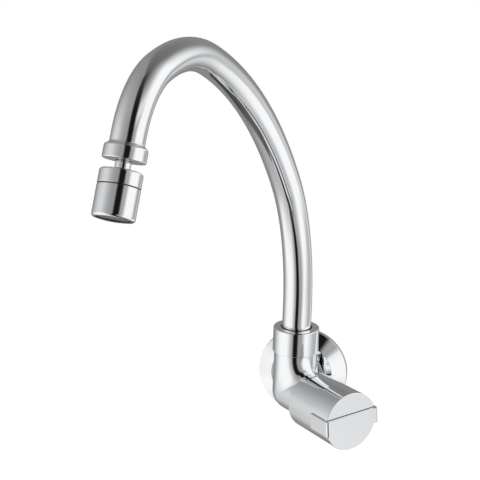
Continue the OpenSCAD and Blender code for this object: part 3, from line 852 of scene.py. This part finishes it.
class TAP_OT_aerator(bpy.types.Operator):
    """Turn the aerator's cap, its housing and the black ring of painted shade in its mouth, and weave its mesh"""
    bl_idname = "tap.aerator"
    bl_label = "Aerator"

    def execute(self, context):
        size = context.scene.tap_aerator
        axis = turned(FLOW, TILT_AXIS, size.lean)
        r, mouth, low = size.radius / MM, size.mouth_radius / MM, size.bottom / MM
        top = size.top / MM
        cap = [
            (7.2, -4.6, 0.02), (8.0, -top, 0.3), (r, -top, 1.6), (r, 2.65, 0.25),
            (12.23, 2.65, 0.05), (12.23, -2.6, 0.05), (8.14, -2.6, 0.05),
        ]
        chrome_piece("aerator_top", [closed_lathe(cap, BALL_CENTRE, axis)], "aerator",
                     "aerator_cap")
        housing = [
            (11.4, -2.6, 0.05), (12.2, -2.6, 0.1), (12.2, 3.35, 0.05), (r, 3.35, 0.25),
            (r, low, 1.7), (mouth, low, 0.12), (mouth, low - 2.4, 0.1), (11.4, low - 2.4, 0.05),
        ]
        chrome_piece("aerator_sleeve", [closed_lathe(housing, BALL_CENTRE, axis)], "aerator",
                     "aerator_housing")
        # Painted shade: a black rubber ring in the mouth, with no CAD node, gives the dark shadow ring round the
        # recessed mesh.
        shade_ring = [
            (10.95, low - 2.35, 0.05), (mouth - 0.02, low - 2.35, 0.05),
            (mouth - 0.02, low - 0.7, 0.05), (11.1, low - 0.7, 0.1),
        ]
        make_piece("mouth_shade_ring", [closed_lathe(shade_ring, BALL_CENTRE, axis)], "aerator", None,
                   "seal_rubber")
        self.weave(axis, low)
        return {"FINISHED"}

    def weave(self, axis, low):
        """The mesh: two sets of wires, each waving over and under the other, in a flat ring.

        Along a wire, height = swing cos(pi s / pitch), with the sign changing from wire to
        wire and between the two sets.
        """
        pitch, wire, swing, reach = 0.7, 0.14, 0.12, 10.6
        plane = low - MESH_DEPTH
        count = int(reach / pitch)
        across = np.arange(-count, count + 1) * pitch
        half = np.sqrt(reach ** 2 - across ** 2)
        rings, sides = 113, 5
        s = np.linspace(-1, 1, rings)[None, :] * half[:, None]
        sign = (-1.0) ** np.arange(len(across))[:, None]
        rise = swing * np.cos(math.pi * s / pitch) * sign
        slope = -swing * math.pi / pitch * np.sin(math.pi * s / pitch) * sign
        u = np.linspace(0, 2 * math.pi, sides + 1)
        thick = np.where(np.arange(rings) % (rings - 1) == 0, 0.0, wire)
        lean = np.sqrt(1 + slope ** 2)
        out = np.stack(np.broadcast_arrays(
            -(slope / lean)[..., None] * np.sin(u), np.cos(u),
            (1 / lean)[..., None] * np.sin(u)), -1)
        middle = np.stack(np.broadcast_arrays(s, across[:, None], rise), -1)[:, :, None]
        first = middle + thick[None, :, None, None] * out
        swap = np.array([[0, 1, 0], [1, 0, 0], [0, 0, -1.0]])
        sets = [(first, out), (first @ swap, out @ swap)]
        side = unit(np.cross(axis, UP))
        basis = np.stack([side, np.cross(axis, side), axis])
        centre = BALL_CENTRE + plane * MM * axis
        patches = [(centre + g @ basis * MM, n @ basis) for grids, slopes in sets
                   for g, n in zip(grids, slopes)]
        band_in, band_out, half_band = 10.3, 10.9, 0.32
        band = [(band_in, plane - half_band, 0.1), (band_out, plane - half_band, 0.1),
                (band_out, plane + half_band, 0.1), (band_in, plane + half_band, 0.1)]
        patches.append(closed_lathe(band, BALL_CENTRE, axis))
        make_piece("woven_mesh", patches, "aerator", "aerator_mesh", "stainless_steel")


MESH_DEPTH = 1.6


# ---------- Inner pieces ----------

class TAP_OT_inner(bpy.types.Operator):
    """Give every carried-over inner piece the material of its slot"""
    bl_idname = "tap.inner"
    bl_label = "Inner pieces"

    def execute(self, context):
        for part in frame["record"]["subparts"]:
            node = frame["nodes"][part["node"]]
            if node.hide_render:
                continue
            node.data.materials.clear()
            node.data.materials.append(finish_of(part["material_slot"]))
        return {"FINISHED"}


# ---------- Stage ----------

# A grey card bent round the tap. Its outline is rows of (elevation, left and right azimuth) in
# degrees, seen from the tap's middle: azimuth 0 faces the room, 90 lies to the right. Its shades
# are pairs of (elevation, grey), and its edges fade over a share of its width or height.
Card = namedtuple("Card", "name outline shades left right low high")

STUDIO = (
    Card("black_flag",
         ((-88, -10, 60), (-65, -2, 46), (-45, -4, 34), (-15, -9, 26), (6, -11, 25), (16, -8, 30),
          (25, -1, 47), (50, -3, 59), (66, -8, 71), (76, -14, 88), (90, -14, 90)),
         ((-88, 0.05), (-65, 0.008), (50, 0.009), (90, 0.05)), 0.24, 0.32, 0.05, 0.0),
    Card("right_reflector",
         ((-72, 14, 84), (-45, 14, 90), (-25, 14, 68), (-10, 14, 58), (12, 14, 60), (25, 16, 92),
          (40, 40, 112)),
         ((-72, 0.38), (-45, 0.38), (-15, 0.33), (8, 0.32), (25, 0.38), (40, 0.34)),
         0.05, 0.55, 0.15, 0.15),
    Card("right_band",
         ((-34, 62, 124), (-24, 62, 133), (-18, 68, 149), (-10, 84, 153), (4, 108, 156)),
         ((-34, 0.6), (-24, 0.52), (-15, 0.36), (-4, 0.42), (4, 0.6)), 0.7, 0.15, 0.3, 0.3),
    Card("left_shade",
         ((-80, -45, 10), (-35, -45, 10), (-14, -42, 10), (0, -46, 10), (15, -58, 8),
          (30, -72, 10), (70, -72, 10)),
         ((-80, 0.4), (-50, 0.33), (30, 0.32), (70, 0.32)), 0.8, 0.0, 0.0, 0.2),
    Card("left_wall",
         ((-80, -160, -95), (-45, -160, -105), (-30, -170, -72), (10, -170, -62),
          (90, -170, -62)),
         ((-80, 0.5), (-60, 0.42), (-45, 0.36), (-38, 0.28), (-15, 0.24), (20, 0.27),
          (45, 0.29), (90, 0.27)), 0.25, 0.7, 0.0, 0.0),
    Card("back_low",
         ((-78, 166, 214), (-38, 166, 214)),
         ((-78, 0.1), (-60, 0.11), (-45, 0.06), (-38, 0.06)), 0.15, 0.12, 0.15, 0.1),
    Card("back_wall",
         ((-60, 126, 215), (-46, 130, 215), (-28, 136, 215), (10, 134, 215), (40, 112, 215),
          (90, 100, 215)),
         ((-60, 0.32), (-46, 0.26), (-25, 0.25), (15, 0.25), (40, 0.18), (90, 0.12)),
         0.42, 0.0, 0.1, 0.0),
    Card("left_ceiling",
         ((-8, -135, 12), (90, -135, 12)),
         ((-8, 0.9), (15, 0.78), (25, 0.68), (35, 0.56), (45, 0.47), (55, 0.38), (75, 0.3),
          (90, 0.2)), 0.0, 0.0, 0.2, 0.0),
    Card("right_ceiling",
         ((28, 30, 158), (90, 30, 158)),
         ((28, 1.0), (36, 0.86), (45, 0.58), (55, 0.36), (65, 0.22), (75, 0.085), (90, 0.035)),
         0.0, 0.0, 0.1, 0.0),
    Card("right_table",
         ((-90, 20, 184), (-42, 20, 172)),
         ((-90, 0.035), (-78, 0.045), (-70, 0.25), (-64, 0.44), (-55, 0.6), (-42, 0.86)),
         0.0, 0.0, 0.0, 0.3),
    Card("left_table",
         ((-90, -184, 20), (-42, -150, 20)),
         ((-90, 0.45), (-75, 0.61), (-65, 0.75), (-55, 0.9), (-42, 0.97)), 0.0, 0.0, 0.0, 0.3),
)
CARD_CENTRE = np.array([-0.03, -0.20, 0.12])
CARD_REACH = 2.0
CARD_GAP = 0.02
CARD_STEPS = 48


def emission_material(name):
    """A material whose surface only shines, with its light and its output node."""
    material = bpy.data.materials.new(name)
    material.use_nodes = True
    material.node_tree.nodes.clear()
    return material, add_node(material, "Emission"), add_node(material, "OutputMaterial")


def card_material(card):
    """The card's greys by height, fading to clear near its edges."""
    material, light, out = emission_material(card.name)
    links = material.node_tree.links
    low, high = card.outline[0][0], card.outline[-1][0]
    place = add_node(material, "SeparateXYZ")
    links.new(add_node(material, "UVMap").outputs["UV"], place.inputs["Vector"])
    greys = add_node(material, "ValToRGB")
    stops = greys.color_ramp.elements
    while len(stops) < len(card.shades):
        stops.new(0.5)
    for stop, (elevation, grey) in zip(stops, card.shades):
        stop.position = (elevation - low) / (high - low)
        stop.color = (grey, grey, grey, 1)
    links.new(place.outputs["Y"], greys.inputs["Fac"])
    links.new(greys.outputs["Color"], light.inputs["Color"])
    cover = None
    for share, axis, side in ((card.left, "X", 0), (card.right, "X", 1), (card.low, "Y", 0),
                              (card.high, "Y", 1)):
        if not share:
            continue
        fade = add_node(material, "MapRange", From_Min=float(side), From_Max=abs(side - share))
        fade.interpolation_type = "SMOOTHSTEP"
        links.new(place.outputs[axis], fade.inputs["Value"])
        if cover:
            product = add_node(material, "Math")
            product.operation = "MULTIPLY"
            links.new(cover, product.inputs[0])
            links.new(fade.outputs["Result"], product.inputs[1])
            cover = product.outputs["Value"]
        else:
            cover = fade.outputs["Result"]
    mix = add_node(material, "MixShader")
    links.new(cover, mix.inputs["Fac"])
    links.new(add_node(material, "BsdfTransparent").outputs["BSDF"], mix.inputs[1])
    links.new(light.outputs["Emission"], mix.inputs[2])
    links.new(mix.outputs["Shader"], out.inputs["Surface"])
    return material


def bent_card(card, reach):
    """A staged card: centre + reach (sin a cos e, -cos a cos e, sin e) over its outline."""
    rows = np.radians(np.array(card.outline, float))
    v = np.linspace(0, 1, CARD_STEPS + 1)
    u = np.linspace(0, 1, CARD_STEPS + 1)
    e = rows[0, 0] + v * (rows[-1, 0] - rows[0, 0])
    left, right = (np.interp(e, rows[:, 0], rows[:, k]) for k in (1, 2))
    a = left[:, None] + u[None, :] * (right - left)[:, None]
    e = e[:, None]
    way = np.stack([np.sin(a) * np.cos(e), -np.cos(a) * np.cos(e), np.sin(e) + 0 * a], -1)
    points = (CARD_CENTRE + reach * way).reshape(-1, 3)
    index = np.arange((CARD_STEPS + 1) ** 2).reshape(CARD_STEPS + 1, -1)
    quads = np.stack([index[:-1, :-1], index[:-1, 1:], index[1:, 1:], index[1:, :-1]], -1)
    quads = quads.reshape(-1, 4)
    mesh = bpy.data.meshes.new(card.name)
    mesh.from_pydata(points.tolist(), [], quads.tolist())
    layer = mesh.uv_layers.new(name="UVMap")
    grid = np.stack(np.broadcast_arrays(u[None, :], v[:, None]), -1).reshape(-1, 2)
    layer.data.foreach_set("uv", grid[quads.ravel()].ravel())
    mesh.materials.append(card_material(card))
    staged = bpy.data.objects.new(card.name, mesh)
    bpy.context.scene.collection.objects.link(staged)
    staged.visible_camera = False
    staged.visible_diffuse = False
    staged.visible_shadow = False


class TAP_OT_stage(bpy.types.Operator):
    """Set the floor, the studio cards, the lamp, the white surround and the camera"""
    bl_idname = "tap.stage"
    bl_label = "Stage"

    def execute(self, context):
        self.surround(context.scene)
        self.floor()
        for number, card in enumerate(STUDIO):
            bent_card(card, CARD_REACH + number * CARD_GAP)
        self.lamp(context.scene)
        self.camera(context.scene)
        context.scene.view_settings.view_transform = "Standard"
        return {"FINISHED"}

    def surround(self, scene):
        """White where it is seen straight, mirrored or through glass, and a softer light."""
        world = bpy.data.worlds.new("white_surround")
        world.use_nodes = True
        scene.world = world
        links = world.node_tree.links
        back = world.node_tree.nodes["Background"]
        back.inputs["Color"].default_value = (1, 1, 1, 1)
        path = add_node(world, "LightPath")
        seen = path.outputs["Is Camera Ray"]
        for ray in ("Is Glossy Ray", "Is Transmission Ray"):
            either = add_node(world, "Math")
            either.operation = "MAXIMUM"
            links.new(seen, either.inputs[0])
            links.new(path.outputs[ray], either.inputs[1])
            seen = either.outputs["Value"]
        level = add_node(world, "MapRange", To_Min=AMBIENT, To_Max=1.0)
        links.new(seen, level.inputs["Value"])
        links.new(level.outputs["Result"], back.inputs["Strength"])

    def floor(self):
        """A wide pale floor below the tap, which takes its soft shadow."""
        half, z = FLOOR_HALF, FLOOR_HEIGHT
        mesh = bpy.data.meshes.new("floor")
        mesh.from_pydata([(-half, -half, z), (half, -half, z), (half, half, z), (-half, half, z)],
                         [], [(0, 1, 2, 3)])
        material, shader = new_material("pale_floor")
        grain = object_noise(material, FLOOR_GRAIN)
        mottled(material, shader, grain.outputs["Fac"], FLOOR_COLOUR, 0.01)
        shader.inputs["Roughness"].default_value = 0.9
        shader.inputs["Emission Color"].default_value = (1, 1, 1, 1)
        shader.inputs["Emission Strength"].default_value = FLOOR_GLOW
        mesh.materials.append(material)
        floor = bpy.data.objects.new("floor", mesh)
        bpy.context.scene.collection.objects.link(floor)
        floor.visible_glossy = False

    def lamp(self, scene):
        """One large soft lamp above the left, kept out of the reflections."""
        data = bpy.data.lights.new("soft_lamp", "AREA")
        data.shape, data.size, data.energy = "DISK", LAMP_SIZE, LAMP_POWER
        lamp = bpy.data.objects.new("soft_lamp", data)
        place = Vector(LAMP_PLACE)
        aim = (Vector(CARD_CENTRE) - place).to_track_quat("-Z", "Y")
        lamp.matrix_world = Matrix.Translation(place) @ aim.to_matrix().to_4x4()
        lamp.visible_glossy = False
        scene.collection.objects.link(lamp)

    def camera(self, scene):
        """The camera, by its place, its right and its up direction."""
        data = bpy.data.cameras.new("view")
        data.sensor_width, data.lens = SENSOR_MM, LENS_MM
        camera = bpy.data.objects.new("view", data)
        right, up = Vector(CAMERA_RIGHT).normalized(), Vector(CAMERA_UP).normalized()
        basis = Matrix((right, up, right.cross(up))).transposed().to_4x4()
        basis.translation = CAMERA_PLACE
        camera.matrix_world = basis
        data.clip_start, data.clip_end = CLIP_RANGE
        scene.collection.objects.link(camera)
        scene.camera = camera


AMBIENT = 0.72
FLOOR_HALF = 8.0
FLOOR_HEIGHT = -0.75
FLOOR_COLOUR = (0.86, 0.86, 0.86)
FLOOR_GRAIN = 3.0
FLOOR_GLOW = 0.36
LAMP_PLACE = (-1.1, -1.5, 1.7)
LAMP_SIZE = 1.8
LAMP_POWER = 14.0
SENSOR_MM = 36.0
LENS_MM = 167.105
CAMERA_PLACE = (0.26050, -1.62643, 0.61932)
CAMERA_RIGHT = (0.978645, 0.202077, 0.037678)
CAMERA_UP = (-0.095659, 0.285468, 0.953602)
CLIP_RANGE = (0.05, 50.0)


# ---------- Panel and registration ----------

STEPS = (TAP_OT_flange, TAP_OT_body, TAP_OT_swivel, TAP_OT_inlet, TAP_OT_handle, TAP_OT_spout,
         TAP_OT_joint, TAP_OT_aerator, TAP_OT_inner, TAP_OT_stage)
GROUPS = (("tap_body", TapBodySizes), ("tap_handle", HandleSizes), ("tap_spout", SpoutSizes),
          ("tap_aerator", AeratorSizes), ("tap_finish", TapFinish))


class TAP_PT_panel(bpy.types.Panel):
    """The tap's steps and sizes in the sidebar"""
    bl_idname = "TAP_PT_panel"
    bl_label = "Wall Tap"
    bl_space_type = "VIEW_3D"
    bl_region_type = "UI"
    bl_category = "Wall Tap"

    def draw(self, context):
        for step in STEPS:
            self.layout.operator(step.bl_idname)
        for group, kind in GROUPS:
            box = self.layout.box()
            for name in kind.__annotations__:
                box.prop(getattr(context.scene, group), name)


def register():
    """Registers the sizes, the operators and the panel."""
    for group, kind in GROUPS:
        bpy.utils.register_class(kind)
        setattr(bpy.types.Scene, group, PointerProperty(type=kind))
    for kind in (*STEPS, TAP_PT_panel):
        bpy.utils.register_class(kind)


def unregister():
    """Takes back what register() added."""
    for kind in (TAP_PT_panel, *reversed(STEPS)):
        bpy.utils.unregister_class(kind)
    for group, kind in reversed(GROUPS):
        delattr(bpy.types.Scene, group)
        bpy.utils.unregister_class(kind)


def main():
    register()
    for step in STEPS:
        group, name = step.bl_idname.split(".")
        getattr(getattr(bpy.ops, group), name)()


if __name__ == "__main__":
    main()
